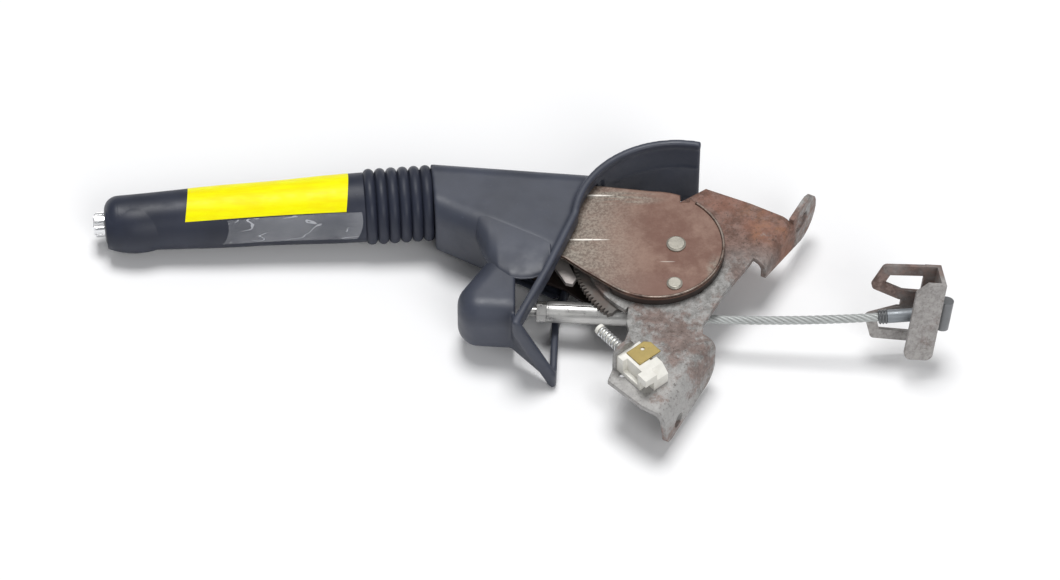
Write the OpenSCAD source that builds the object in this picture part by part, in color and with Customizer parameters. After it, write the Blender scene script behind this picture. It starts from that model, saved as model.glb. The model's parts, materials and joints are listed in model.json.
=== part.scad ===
// Hand-operated parking brake lever, lying on its side: a gripped lever with a release button, a ratchet
// on a folded bracket, a warning-lamp switch, and an adjuster that draws a cable with an equaliser.
// It is drawn about the lever's pivot, with X along the cable, Z along the pivot and z = 0 in the
// lever's mid-plane. to_frame() then moves it so that the origin is the lower fixing hole.

/* [Lever arm] */
// Sheet thickness of the lever arm
sheet = 2; // [1.5:0.1:3]
// Width over the two cheeks
channel_w = 28; // [26:0.5:34]
// Radius of the cheeks' round end
cheek_r = 39; // [36:0.5:44]
// Distance from the pivot back to the centre of that round end
cheek_back = 12; // [8:0.5:16]
// Gap between the shroud's collar and the front edge of the cheeks
arm_gap = 2.2; // [1.5:0.1:4]
// Outer radius of the tube inside the grip
tube_r = 12.5; // [12:0.1:13.5]
// Wall of that tube
tube_wall = 2; // [1.5:0.1:3]
// How far the tube runs on past the grip, into the channel
tube_in = 9; // [7:0.5:10]

/* [Pins] */
// Shank radius of the pivot pin
pivot_r = 5; // [4:0.25:6]
// Shank radius of the cable's anchor pin
anchor_r = 4; // [3:0.25:4.5]
// Shank radius of the pawl's pin
pawl_pin_r = 3; // [2.5:0.25:4]
// How much smaller a pin is where it is riveted in the cheeks
pin_step = 1; // [0.5:0.1:1.5]
// Height of a riveted head
rivet_h = 1.6; // [1:0.1:2.5]
// Radial clearance of a turning fit
run_gap = 0.05; // [0.02:0.01:0.1]
// Distance of the anchor pin below the pivot
anchor_drop = 28.6; // [26:0.1:31]

/* [Grip] */
// Length of the grip along its axis
grip_len = 184; // [165:0.5:205]
// Distance from the pivot to the root of the grip
root_reach = 135.7; // [130:0.1:142]
// Height of the grip's root above the pivot
root_rise = 42.8; // [41:0.2:44]
// Slope of the grip's axis to the cable, in degrees
grip_slope = 5; // [4:0.25:5.5]
// Radius of the grip at its end
grip_r_end = 15.5; // [15:0.1:17]
// Radius of the grip in the hand
grip_r_mid = 17.8; // [16.5:0.1:19]
// Radius of the grip before its bellows ribs
grip_r_root = 19.6; // [18:0.1:20.5]
// Rounding of the grip's end
end_round = 8; // [4:0.5:9]
// Thickness of the grip's end wall
end_wall = 8; // [5:0.5:10]
// Drop of the finger stop below the grip's axis
stop_drop = 2.6; // [1:0.1:4]
// Number of bellows ribs
rib_n = 6; // [4:1:7]
// Pitch of the bellows ribs
rib_pitch = 6.4; // [5.5:0.1:6.8]
// Radius over the bellows ribs
rib_crest = 21.4; // [20.5:0.1:23]

/* [Release] */
// Radius of the release button
button_r = 7; // [5.5:0.1:7.5]
// How far the button stands out of the grip
button_out = 6.3; // [5.8:0.1:9]
// Number of flutes round the button
flute_n = 8; // [6:1:12]
// Radius of the release rod
rod_r = 1.75; // [1.5:0.05:2]
// Wire thickness of the coil springs
wire = 0.9; // [0.7:0.05:1.1]
// Radius of the release spring, to the middle of its wire
release_spring_r = 5; // [4:0.1:7]
// Distance of the rod's guide from the grip's end
guide_s = 48; // [40:1:60]
// Thickness of the rod's guide
guide_t = 8; // [6:0.5:12]

/* [Shroud] */
// Wall of the shroud
shroud_wall = 2.5; // [2:0.1:3.5]
// Half of the hood's width along the pivot
hood_half = 25; // [22:0.25:25]
// Radius of the hood's arch, to the middle of its wall
hood_r = 57.6; // [56:0.2:62]
// Thickness of the hood's rim
rim = 4; // [3:0.1:5]
// Rounding of the sleeve's corners
sleeve_round = 12; // [9:0.5:13]
// Half of the sleeve's width at the grip
sleeve_half = 20; // [19:0.25:21]
// Half of the nose's width
nose_half = 18; // [16:0.5:20]
// Rounding of the nose
nose_round = 12; // [9:0.5:13]

/* [Bracket] */
// Sheet thickness of the bracket
bracket_t = 3; // [2.5:0.1:3]
// Height of the bracket plate's lower face above the mid-plane
plate_z = 5; // [4.5:0.1:5.5]
// Inner radius of the two folds
fold_in = 5; // [3:0.25:5]
// Angle of the mounting face to the cable, in degrees
mount_angle = 62; // [58:1:66]
// Distance from the pivot to the mounting face
mount_w = 48; // [46:0.5:52]
// Depth of the lower tab under the plate's upper face
tab_depth = 29.5; // [28:0.5:33]
// Radius of the lower fixing hole
hole_r = 4.5; // [4:0.1:5.5]
// Place of the lower fixing hole along the mounting face, below the pivot
hole_u = 90; // [80:0.5:98]
// Depth of the lower fixing hole under the mid-plane
hole_z = 14; // [11:0.5:14]
// Length of the upper fixing slot
slot_len = 14; // [11:0.5:18]
// Place of the upper fixing slot along the mounting face, above the pivot
slot_u = 62; // [60:0.5:66]

/* [Switch] */
// Height of the plunger's axis above the bracket plate
switch_z = 6.5; // [6:0.25:7.5]
// Distance from the switch's middle to the lug that holds it
lug_x = 15; // [13:0.5:17]
// Thickness of that lug
lug_t = 2.5; // [2:0.1:3]
// Radius of the switch's neck in the lug
neck_r = 4; // [3.5:0.1:4.5]
// How far the neck stands out of the lug
neck_out = 2; // [1:0.1:3]
// Radius of the plunger
plunger_r = 2; // [1.6:0.1:2.4]
// How far the plunger stands out of the neck
plunger_out = 20; // [16:0.5:21]

/* [Ratchet] */
// Radius over the ratchet teeth
tooth_r = 57.5; // [55:0.25:59]
// Depth of the teeth
tooth_h = 2.2; // [1.6:0.1:2.8]
// Angle from tooth to tooth
tooth_step = 2.6; // [2:0.1:3.4]
// Number of teeth
tooth_n = 20; // [14:1:22]
// Thickness of the toothed sector
sector_t = 3; // [2:0.1:3]
// Thickness of the pawl
pawl_t = 2.6; // [2:0.1:2.8]
// Clearance between the pawl's nose and the tooth tips
pawl_clear = 0.3; // [0.2:0.05:0.6]

/* [Adjuster and cable] */
// Distance of the cable's axis below the pivot
cable_drop = 37.4; // [36.5:0.1:38]
// Depth of the cable's axis under the mid-plane
cable_z = 4.5; // [4:0.1:5]
// Radius of the cable
cable_r = 2.5; // [2:0.1:2.8]
// Outer radius of the adjuster's sleeve
sleeve_r = 6; // [5:0.1:6.2]
// Length of the adjuster's sleeve
sleeve_len = 52; // [44:1:56]
// Distance from the anchor pin to the nut's end of that sleeve
sleeve_reach = 69; // [64:0.5:72]
// Radius of the threaded rod
thread_r = 3; // [2.5:0.1:3.2]
// Thickness of the sleeve's ears
ear_t = 2; // [1.5:0.1:2.5]
// Width of the nut across its flats
nut_af = 10; // [8:0.5:11]
// Thickness of the nut
nut_t = 5.5; // [4:0.5:6]
// Thickness of the washer
washer_t = 1; // [0.8:0.1:1.6]
// Slope of the adjuster down to the cable, in degrees
adjuster_slope = 3.5; // [0:0.5:5]
// Length of the cable that is bowed
bow_run = 106.5; // [100:0.5:125]
// How far the bow lifts the cable's end off its line
bow_lift = 6.2; // [3:0.1:8]
// Direction of that lift round the cable, in degrees
bow_turn = 130; // [100:5:160]
// Length of the ridged crimp
crimp_l = 5; // [4:0.5:7]
// Radius of the cable's end sleeve
end_r = 3.75; // [3.4:0.05:4]
// Length of the end sleeve up to the equaliser
end_l = 27; // [22:0.5:32]
// Radius of the barrel nipple
nipple_r = 4; // [3.5:0.1:5]
// Length of the barrel nipple
nipple_l = 18; // [14:0.5:20]

/* [Equaliser] */
// Sheet thickness of the equaliser
eq_t = 2.5; // [2:0.1:3]
// Length of the equaliser
eq_len = 50; // [44:0.5:52]
// Width over its two arms
eq_w = 20.5; // [20.5:0.5:23]
// Reach of the arm with the two windows
eq_reach = 37; // [32:0.5:42]
// Reach of the plain arm
eq_strip = 16; // [12:0.5:18]
// Width of the metal round the windows
eq_rim = 6; // [5:0.25:7]
// How far it leans back on the loose cable, in degrees
eq_lean = 16; // [0:1:30]
// How far it rolls on the loose cable, in degrees
eq_roll = 12; // [0:1:16]
// How far it turns on the loose cable, in degrees
eq_turn = 5; // [0:1:5]

/* [Hidden] */
$fn = 48;
half_w = channel_w / 2;
inner_w = half_w - sheet;
plate_top = plate_z + bracket_t;
fold_z = plate_z - fold_in;
fold_out = fold_in + bracket_t;
thinning = 0.02;
plate_w = mount_w - fold_out;
tab_z = plate_top - tab_depth;
slot_run = slot_len / 2 - hole_r;
slot_z = -4;
anchor = [-1.4, -anchor_drop];
pawl_at = [-72, 12];
pawl_eye = [-4, 20];
sector_z = plate_z - sector_t;
pull_up = 16;
let_down = 22;
slot_gap = 0.4;
tooth_from = 177.6;
grip_root = [-root_reach, root_rise];
grip_end = grip_root - polar(grip_len, grip_slope);
tube_len = grip_len + tube_in - end_wall;
rod_bend = on_grip(grip_len - 19);
rod_hook = pawl_at + pawl_eye;
knuckle = 0.3;
rivet_r = 3;
rivet_spots = [polar(tooth_r - 15.5, 196), polar(tooth_r - 15.5, 214)];
arm_x = grip_root[0] + (shroud_wall + arm_gap) * cos(grip_slope);
arm_top = [[arm_x, grip_root[1] + 10.7], [-70, 46.5], [-cheek_back, cheek_r]];
arm_low = [[-52, -18.5], [-62, -10], [-95, 5], [arm_x, grip_root[1] - 13.8]];
web_end = -9;
hood_from = 76.5;
hood_to = 174;
hood_c = [1.3, 9];
hood_foot = [-56, 15];
hood_bend = [-72, -26];
hood_knee = [-89, -64];
hood_far = [-66.8, -28];
hood_tip = [-68.5, -69];
lip_in = half_w + 0.7;
lip_h = hood_half - lip_in - 0.3;
switch_at = [-18, -91];
switch_turn = 130;
spring_seat = lug_x + lug_t + neck_out;
rib_0 = grip_len - rib_n * rib_pitch;
mid_s = 80;
flange_s = end_wall + 3;
sleeve_front = [grip_root + [-14.3, 7], grip_root + [-14.3, -1.3]];
sleeve_back = [[-50, 39], [-50, -13]];
nose_front = [[-109, -37], [-109, -41]];
nose_back = [[-94, -14], [-80, -14], [-80, -43]];
sleeve_x = anchor[0] - sleeve_reach;
rod_end_x = sleeve_x - 15;
swage_x = -30;
bow_x = 10;
slack = 0.05;
bow_angle = 2 * atan2(bow_lift, bow_run);
bow_r = bow_run / sin(bow_angle);
frame_at = [
    mount_w * sin(mount_angle) - hole_u * cos(mount_angle),
    -mount_w * cos(mount_angle) - hole_u * sin(mount_angle),
    -hole_z
];

steel = [0.60, 0.54, 0.50];
bright = [0.78, 0.79, 0.78];
rusty = [0.52, 0.45, 0.41];
charcoal = [0.24, 0.25, 0.29];
white = [0.93, 0.92, 0.88];
brass = [0.80, 0.68, 0.30];

function polar(r, a) = [r * cos(a), r * sin(a)];
function smooth(t) = t * t * (3 - 2 * t);
function point3(p, z) = [p[0], p[1], z];
function arc(c, r, a0, a1, n = 10) = [for (i = [0:n]) c + polar(r, a0 + (a1 - a0) * i / n)];

// Moves pivot coordinates to the part's frame.
module to_frame() {
    translate(-frame_at) children();
}

// Solid of a plan outline between two heights.
module slab(z0, z1) {
    translate([0, 0, z0]) linear_extrude(z1 - z0) children();
}

// Flat bar with round ends between two plan points.
module bar(a, b, w) {
    d = b - a;
    translate(a) circle(d = w);
    translate(b) circle(d = w);
    translate(a) rotate(atan2(d[1], d[0])) translate([0, 0.01 - w / 2]) square([norm(d), w - 0.02]);
}

// Wedge of the plan between two angles.
module wedge(a0, a1, r) {
    polygon([[0, 0], polar(r, a0), polar(r, (a0 + a1) / 2), polar(r, a1)]);
}

// Curved slot about the pivot, with round ends.
module arc_slot(r, a0, a1, w) {
    intersection() {
        difference() {
            circle(r + w / 2, $fn = 96);
            circle(r - w / 2, $fn = 96);
        }
        wedge(a0, a1, 3 * r);
    }
    for (a = [a0, a1]) translate(polar(r, a)) circle(d = w - 0.02);
}

// Coil of round wire up the Z axis, swept ring by ring.
module coil(r, h, turns, steps = 12, sides = 6) {
    n = turns * steps;
    rise = h - wire;
    rings = [for (i = [0:n], j = [0:sides - 1])
        let (a = 360 * i / steps, b = 360 * j / sides, d = r + wire / 2 * cos(b))
        [d * cos(a), d * sin(a), wire / 2 + rise * i / n + wire / 2 * sin(b)]];
    skin = [for (i = [0:n - 1], j = [0:sides - 1])
        let (k = (j + 1) % sides)
        [i * sides + j, i * sides + k, (i + 1) * sides + k, (i + 1) * sides + j]];
    ends = [[for (j = [sides - 1:-1:0]) j], [for (j = [0:sides - 1]) n * sides + j]];
    polyhedron(rings, concat(skin, ends));
}

// Pin held between the cheeks by its shoulders, with a riveted head outside each cheek.
module shoulder_pin(r) {
    translate([0, 0, -inner_w]) cylinder(r = r, h = 2 * inner_w);
    translate([0, 0, -half_w]) cylinder(r = r - pin_step, h = channel_w);
    for (side = [0, 1]) mirror([0, 0, side]) translate([0, 0, half_w]) {
        cylinder(r = r + 0.4, h = rivet_h / 2);
        translate([0, 0, rivet_h / 2]) cylinder(r1 = r + 0.4, r2 = r - 0.6, h = rivet_h / 2);
    }
}

// Grip axis along +Z, from the end of the grip.
module along_grip() {
    translate(point3(grip_end, 0)) rotate([0, 0, grip_slope]) rotate([0, 90, 0]) children();
}

function on_grip(s, up = 0) = [
    grip_end[0] + s * cos(grip_slope) - up * sin(grip_slope),
    grip_end[1] + s * sin(grip_slope) + up * cos(grip_slope)
];

// Mounting face upright: X out of the face, Y along it.
module along_mount() {
    rotate([0, 0, mount_angle - 90]) children();
}

// Tab outline, drawn along the mounting face and up, made as thick as the sheet.
module tab_sheet() {
    translate([mount_w - bracket_t, 0, 0]) rotate([90, 0, 90]) linear_extrude(bracket_t) children();
}

// Fold from the plate down into a tab, with a little of both.
module fold(u0, u1) {
    r0 = fold_in + thinning;
    r1 = fold_out - thinning;
    translate([plate_w, u1, fold_z]) rotate([90, 0, 0]) linear_extrude(u1 - u0) polygon(concat(
        [[-2, r0]], arc([0, 0], r0, 90, 0), [[r0, -1], [r1, -1]], arc([0, 0], r1, 0, 90), [[-2, r1]]
    ));
}

// Switch axis along +X, on the bracket plate.
module at_switch() {
    translate(point3(switch_at, plate_top)) rotate([0, 0, switch_turn]) children();
}

module plate_outline() {
    intersection() {
        circle(tooth_r - tooth_h - 4.5, $fn = 128);
        wedge(182, 236, 2 * tooth_r);
    }
    circle(22);
    along_mount() polygon([
        [plate_w, 51], [21, 51], [-6, 49], [-16, 30], [-20, 0], [-8, -40], [-1, -58], [3, -63], [9, -99.5],
        [33, -106.5], [plate_w, -hole_u - 17], [plate_w, -46], [plate_w - 3, -40], [plate_w - 3, -14],
        [plate_w, 12]
    ]);
}

module base_bracket() {
    color(rusty) to_frame() {
        slab(plate_z, plate_top) difference() {
            plate_outline();
            circle(pivot_r + run_gap);
            arc_slot(anchor_drop, 269 - pull_up - 3.5, 265 + let_down + 3.5, 2 * (anchor_r + slot_gap));
            for (p = rivet_spots) translate(p) circle(rivet_r);
            along_mount() translate([14, -92]) circle(2);
        }
        along_mount() {
            fold(16, 51);
            fold(-hole_u - 17, -46);
            tab_sheet() difference() {
                polygon(concat(
                    [[51, fold_z], [16, fold_z], [16, -5]],
                    arc([slot_u + 4, plate_top - 14.5], 14.5, -105, 90), [[51, plate_top]]
                ));
                bar([slot_u - slot_run, slot_z], [slot_u + slot_run, slot_z], 2 * hole_r);
            }
            tab_sheet() difference() {
                polygon(concat(
                    [[-46, fold_z], [-hole_u - 17, fold_z]], arc([-hole_u - 8, tab_z + 6], 6, 180, 270, 6),
                    arc([-56, tab_z + 10], 10, 270, 360)
                ));
                translate([-hole_u, -hole_z]) circle(hole_r);
            }
        }
        at_switch() difference() {
            translate([lug_x, 0, 0]) rotate([90, 0, 90]) linear_extrude(lug_t)
                polygon(concat([[-5, -bracket_t], [9, -bracket_t]], arc([2, 10], 7, 0, 180)));
            translate([lug_x - 1, 0, switch_z]) rotate([0, 90, 0]) cylinder(r = neck_r, h = lug_t + 2);
        }
    }
}

module ratchet_sector() {
    root_r = tooth_r - tooth_h;
    last = tooth_from + tooth_n * tooth_step;
    color(rusty) to_frame() slab(sector_z, plate_z) difference() {
        union() {
            circle(16);
            intersection() {
                circle(root_r, $fn = 128);
                wedge(tooth_from, last, 2 * tooth_r);
            }
            for (i = [0:tooth_n - 1]) rotate(tooth_from + i * tooth_step)
                polygon([
                    polar(root_r - 1, -0.1), polar(tooth_r, 0.25 * tooth_step), polar(tooth_r, 0.4 * tooth_step),
                    polar(root_r - 1, tooth_step + 0.1)
                ]);
        }
        circle(pivot_r + run_gap);
        for (p = rivet_spots) translate(p) circle(rivet_r);
        translate(polar(29, 192)) circle(7);
    }
}

module sector_rivets() {
    color(steel) to_frame() for (p = rivet_spots)
        translate(point3(p, sector_z)) cylinder(r = rivet_r, h = plate_top - sector_z);
}

module switch_body() {
    color(white) to_frame() at_switch() difference() {
        union() {
            translate([-9, -8, 0]) cube([lug_x + 9, 16, 12]);
            translate([lug_x, 0, switch_z]) rotate([0, 90, 0]) cylinder(r = neck_r, h = lug_t + neck_out);
        }
        translate([-3, 0, switch_z]) rotate([0, 90, 0]) cylinder(r = plunger_r + run_gap, h = 40);
        translate([-9, -9, 12]) rotate([-90, 0, 0]) cylinder(r = 5, h = 9, $fn = 4);
        translate([-2, 5, 3]) cube([12, 4, 12]);
        translate([1, -9, 8]) cube([3, 5, 5]);
        translate([-10, 2, -1]) cube([6, 7, 8]);
    }
}

module switch_terminal() {
    color(brass) to_frame() at_switch() difference() {
        union() {
            translate([2, -12, 12]) cube([11, 15, 0.8]);
            translate([6, -8.8, 3]) cube([6, 0.8, 9.8]);
        }
        translate([9.5, -5.5, 11]) cylinder(r = 1.2, h = 3);
        translate([13, -12, 11]) rotate(45) translate([-2, -2]) cube([4, 4, 3]);
    }
}

module switch_plunger() {
    color(white) to_frame() at_switch() translate([4, 0, switch_z]) rotate([0, 90, 0]) {
        cylinder(r = plunger_r, h = spring_seat + plunger_out - 4);
        translate([0, 0, spring_seat + plunger_out - 6]) cylinder(r = 3, h = 2);
    }
}

module switch_spring() {
    color(bright) to_frame() at_switch() translate([spring_seat, 0, switch_z]) rotate([0, 90, 0])
        coil(plunger_r + wire / 2 + 0.3, plunger_out - 2, 8);
}

// Side view of the arm's cheek.
module cheek_outline() {
    translate([-cheek_back, 0]) circle(cheek_r, $fn = 128);
    polygon(concat(arm_top, [polar(cheek_r, 232.6) - [cheek_back, 0]], arm_low));
}

// What the channel's web leaves open between the cheeks.
module channel_space() {
    translate([-cheek_back, 0]) circle(cheek_r - sheet, $fn = 128);
    polygon(concat(
        [for (p = arm_top) p - [p[0] < -100 ? 1 : 0, sheet]],
        [[web_end, cheek_r - sheet], [web_end, 2 * cheek_r], [2 * cheek_r, 2 * cheek_r],
        [2 * cheek_r, -2 * cheek_r], [arm_x - 1, -2 * cheek_r]]
    ));
}

module lever_arm() {
    color(steel) to_frame() difference() {
        union() {
            difference() {
                slab(-half_w, half_w) cheek_outline();
                slab(-inner_w, inner_w) channel_space();
            }
            slab(plate_top + slot_gap, inner_w) intersection() {
                translate([-cheek_back, 0]) difference() {
                    circle(cheek_r, $fn = 128);
                    circle(cheek_r - sheet, $fn = 128);
                }
                polygon([
                    [web_end - 2, cheek_r + 1], [60, cheek_r + 1], [60, -60], [-36, -60], [-36, -20], [web_end - 2, 0]
                ]);
            }
            along_grip() translate([0, 0, end_wall]) cylinder(r = tube_r, h = tube_len, $fn = 64);
        }
        along_grip() translate([0, 0, end_wall - 1]) cylinder(r = tube_r - tube_wall, h = tube_len + 2, $fn = 64);
        slab(-channel_w, channel_w) {
            circle(pivot_r - pin_step);
            translate(anchor) circle(anchor_r - pin_step);
            translate(pawl_at) circle(pawl_pin_r - pin_step);
        }
        translate([3, cheek_r - 8, plate_top]) cube([5, 12, channel_w]);
    }
}

module pivot_pin() {
    color(bright) to_frame() shoulder_pin(pivot_r);
}

module anchor_pin() {
    color(bright) to_frame() translate(point3(anchor, 0)) shoulder_pin(anchor_r);
}

module pawl_pin() {
    color(bright) to_frame() translate(point3(pawl_at, 0)) shoulder_pin(pawl_pin_r);
}

module pivot_spacers() {
    color(bright) to_frame() {
        slab(plate_top + 0.1, inner_w) difference() {
            circle(pivot_r + 3);
            circle(pivot_r + run_gap);
        }
        slab(-inner_w, sector_z - 0.1) difference() {
            circle(pivot_r + 3);
            circle(pivot_r + run_gap);
        }
    }
}

function grip_r(s) = s < mid_s
    ? grip_r_end + (grip_r_mid - grip_r_end) * smooth(s / mid_s)
    : grip_r_mid + (grip_r_root - grip_r_mid) * smooth((s - mid_s) / (rib_0 - mid_s));

module grip() {
    color(charcoal) to_frame() along_grip() difference() {
        union() {
            rotate_extrude($fn = 96) {
                polygon(concat(
                    [[0, 0], [grip_r_end - end_round, 0]],
                    [for (i = [0:12]) let (s = end_round + (rib_0 - end_round) * i / 12) [grip_r(s), s]],
                    [[rib_crest - rib_pitch / 2, rib_0], [rib_crest - rib_pitch / 2, grip_len], [0, grip_len]]
                ));
                translate([grip_r_end - end_round, end_round]) intersection() {
                    circle(end_round);
                    translate([0, -end_round]) square(end_round);
                }
                for (i = [0:rib_n - 1]) translate([rib_crest - rib_pitch / 2, rib_0 + (i + 0.5) * rib_pitch])
                    circle(d = rib_pitch);
            }
            translate([0, -stop_drop, 1]) rotate_extrude($fn = 96) intersection() {
                translate([grip_r_end - 42, 17]) circle(42, $fn = 128);
                square([grip_r_end + 1, 34]);
            }
        }
        translate([0, 0, -10]) cylinder(r = button_r + 0.2, h = end_wall + 11);
        translate([0, 0, end_wall]) cylinder(r = tube_r + run_gap, h = grip_len, $fn = 64);
    }
}

// Rounded block with its four side-view corners given, so wide at the front and at the back.
module soft_block(front, back, half_front, half_back, r) {
    hull() for (z = [-1, 1]) {
        for (p = front) translate(point3(p, z * (half_front - sleeve_round))) sphere(r, $fn = 32);
        for (p = back) translate(point3(p, z * (half_back - sleeve_round))) sphere(r, $fn = 32);
    }
}

module hood_side() {
    translate(hood_c) circle(hood_r, $fn = 128);
    polygon([hood_foot, hood_bend, hood_knee, [60, -64], [60, 80], hood_c + [0, hood_r]]);
}

// Arch of the hood, so thick and between two angles.
module hood_arc(t, a0, a1) {
    translate(hood_c) intersection() {
        difference() {
            circle(hood_r + t / 2, $fn = 128);
            circle(hood_r - t / 2, $fn = 128);
        }
        wedge(a0, a1, 3 * hood_r);
    }
}

// Ribbon of the hood's lip from one plan point and height to another.
module lip(a, za, b, zb) {
    hull() {
        translate(point3(a, za)) cylinder(d = rim, h = lip_h, $fn = 24);
        translate(point3(b, zb)) cylinder(d = rim, h = lip_h, $fn = 24);
    }
}

// Thin three-cornered web between points in space.
module web(a, b, c) {
    hull() for (p = [a, b, c]) translate(p) sphere(d = shroud_wall, $fn = 12);
}

module shroud() {
    nose_low = [-90, -51];
    knee = point3(hood_knee, hood_half - 4);
    tip = point3(hood_tip, 4 - hood_half);
    near = lip_in + 0.2;
    far = 0.1 - hood_half;
    color(charcoal) to_frame() {
        difference() {
            soft_block(sleeve_front, sleeve_back, sleeve_half, sleeve_half + 1.5, sleeve_round);
            difference() {
                soft_block(sleeve_front, sleeve_back, sleeve_half, sleeve_half + 1.5, sleeve_round - shroud_wall);
                along_grip() translate([0, 0, grip_len - 2]) difference() {
                    cylinder(r = sleeve_half + 8, h = 2 + shroud_wall);
                    cylinder(r = tube_r + run_gap, h = 10, $fn = 64);
                }
            }
            along_grip() translate([0, 0, grip_len - 100]) cylinder(r = 60, h = 100);
            slab(-60, 60) hood_side();
            translate([-100, -40, -lip_in]) cube([60, 45, 2 * lip_in]);
        }
        difference() {
            slab(-hood_half, hood_half) hood_arc(shroud_wall, hood_from, hood_to);
            translate([-80, -40, -lip_in]) cube([60, 88, 2 * lip_in]);
        }
        slab(4.5, 5.5) hood_arc(shroud_wall + 1.2, hood_from + 1, 128);
        slab(hood_half - rim, hood_half + 0.1) hood_arc(rim, hood_from - 0.1, hood_to + 0.1);
        slab(-hood_half - 0.1, rim - hood_half) hood_arc(rim, hood_from - 0.1, hood_to + 0.1);
        lip(hood_foot, near, hood_bend, near);
        lip(hood_bend, near, hood_knee, near);
        lip(hood_foot, far, hood_far, far);
        lip(hood_far, far, hood_tip, far);
        lip(hood_knee, near, hood_tip, far);
        difference() {
            soft_block(nose_front, nose_back, nose_half, nose_half, nose_round);
            soft_block(nose_front, nose_back, nose_half, nose_half, nose_round - shroud_wall);
            translate([hood_knee[0], -80, -40]) cube(80);
        }
        web(point3(nose_low, -14), point3(nose_low, 14), knee);
        web(point3(nose_low, -14), knee, tip);
        slab(shroud_wall - nose_half - 0.4, -nose_half + 0.4)
            polygon([[-93, -26], hood_far, hood_tip, [-93, -50]]);
    }
}

module rod_guide() {
    color(charcoal) to_frame() along_grip() difference() {
        translate([0, 0, guide_s]) cylinder(r = tube_r - tube_wall, h = guide_t);
        translate([0, 0, guide_s - 1]) cylinder(r = rod_r + 0.1, h = guide_t + 2);
    }
}

module release_button() {
    color(bright) to_frame() along_grip() difference() {
        union() {
            translate([0, 0, 1 - button_out]) cylinder(r = button_r, h = button_out - 1 + flange_s);
            translate([0, 0, -button_out]) cylinder(r1 = button_r - 1, r2 = button_r, h = 1);
            translate([0, 0, end_wall + 1]) cylinder(r = button_r + 1.5, h = flange_s - end_wall);
        }
        for (i = [0:flute_n - 1]) rotate(i * 360 / flute_n)
            translate([button_r + 0.6, 0, -button_out - 1]) cylinder(r = 1.5, h = button_out + 0.5);
        translate([0, 0, flange_s - 6]) cylinder(r = rod_r, h = 20);
    }
}

module release_rod() {
    run = rod_hook - rod_bend;
    color(bright) to_frame() {
        along_grip() translate([0, 0, flange_s - 6]) cylinder(r = rod_r, h = grip_len - 13 - flange_s);
        for (p = [rod_bend, rod_hook]) translate(point3(p, -rod_r - knuckle))
            cylinder(r = rod_r + knuckle, h = 2 * (rod_r + knuckle));
        translate(point3(rod_bend, 0)) rotate([0, 0, atan2(run[1], run[0])]) rotate([0, 90, 0])
            cylinder(r = rod_r, h = norm(run));
        translate(point3(rod_hook, 0)) cylinder(r = rod_r, h = sector_z + pawl_t + 2);
    }
}

module release_spring() {
    color(bright) to_frame() along_grip() translate([0, 0, flange_s + 1])
        coil(release_spring_r, guide_s - flange_s - 1, 10);
}

module ratchet_pawl() {
    tip = polar(tooth_r + pawl_clear, 197);
    color(steel) to_frame() translate([0, 0, sector_z + 0.2]) difference() {
        union() {
            translate(pawl_at) cylinder(r = pawl_pin_r + 4, h = pawl_t);
            translate(rod_hook) cylinder(r = rod_r + 2.5, h = pawl_t);
            linear_extrude(pawl_t) polygon([
                rod_hook + [-3.5, 0.5], rod_hook + [3.5, 1], pawl_at + [5, 2], polar(tooth_r + 1.2, 191), tip,
                polar(tooth_r + 3.5, 200), polar(tooth_r + 7, 198), pawl_at + [-5, -3]
            ]);
        }
        translate(point3(pawl_at, -1)) cylinder(r = pawl_pin_r + run_gap, h = 5);
        translate(point3(rod_hook, -1)) cylinder(r = rod_r + 0.15, h = 5);
    }
}

module pawl_spring() {
    z0 = sector_z + pawl_t + 1;
    color(bright) to_frame() translate(point3(pawl_at, z0))
        coil(pawl_pin_r + wire / 2 + 0.4, inner_w - z0, 4);
}

// Adjuster and cable, let down by their slope about the anchor pin.
module on_slope() {
    translate(point3(anchor, 0)) rotate(-adjuster_slope) translate(-point3(anchor, 0)) children();
}

// Axis of the straight part of the cable as +Z, at the pivot's station.
module along_cable() {
    on_slope() translate([0, -cable_drop, -cable_z]) rotate([0, 90, 0]) children();
}

// Start of the bow as +Z, with its lift towards +X.
module at_bow() {
    along_cable() translate([0, 0, bow_x]) rotate(bow_turn) children();
}

// End of the bow, where the cable meets the equaliser, as +Z.
module at_end() {
    at_bow() translate([bow_r * (1 - cos(bow_angle)), 0, bow_r * sin(bow_angle)]) rotate([0, bow_angle, 0])
        rotate(-bow_turn) children();
}

module adjuster_sleeve() {
    color(bright) to_frame() difference() {
        union() {
            along_cable() translate([0, 0, sleeve_x]) cylinder(r = sleeve_r, h = sleeve_len);
            on_slope() for (z = [sleeve_r - ear_t, -sleeve_r]) slab(z - cable_z, z - cable_z + ear_t) {
                translate(anchor) circle(anchor_r + 3.5);
                polygon([
                    anchor + [2, anchor_r + 3], anchor + [-12, anchor_r - 2], [sleeve_x + sleeve_len - 12, 3 - cable_drop],
                    [sleeve_x + sleeve_len - 12, -cable_drop - 3], anchor + [2, -anchor_r - 3.2]
                ]);
            }
        }
        along_cable() translate([0, 0, sleeve_x - 1]) cylinder(r = thread_r + 0.6, h = sleeve_len + 2);
        translate(point3(anchor, -channel_w)) cylinder(r = anchor_r + run_gap, h = 2 * channel_w);
        on_slope() translate([sleeve_x - 1, -cable_drop - 0.4, -cable_z]) cube([sleeve_len - 10, 0.8, sleeve_r + 1]);
    }
}

module threaded_rod() {
    color(bright) to_frame() along_cable() difference() {
        union() {
            translate([0, 0, rod_end_x]) cylinder(r = thread_r, h = swage_x - rod_end_x);
            translate([0, 0, swage_x - 14]) cylinder(r = thread_r + 0.4, h = 24);
        }
        translate([0, 0, swage_x]) cylinder(r = cable_r, h = 20);
    }
}

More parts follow.
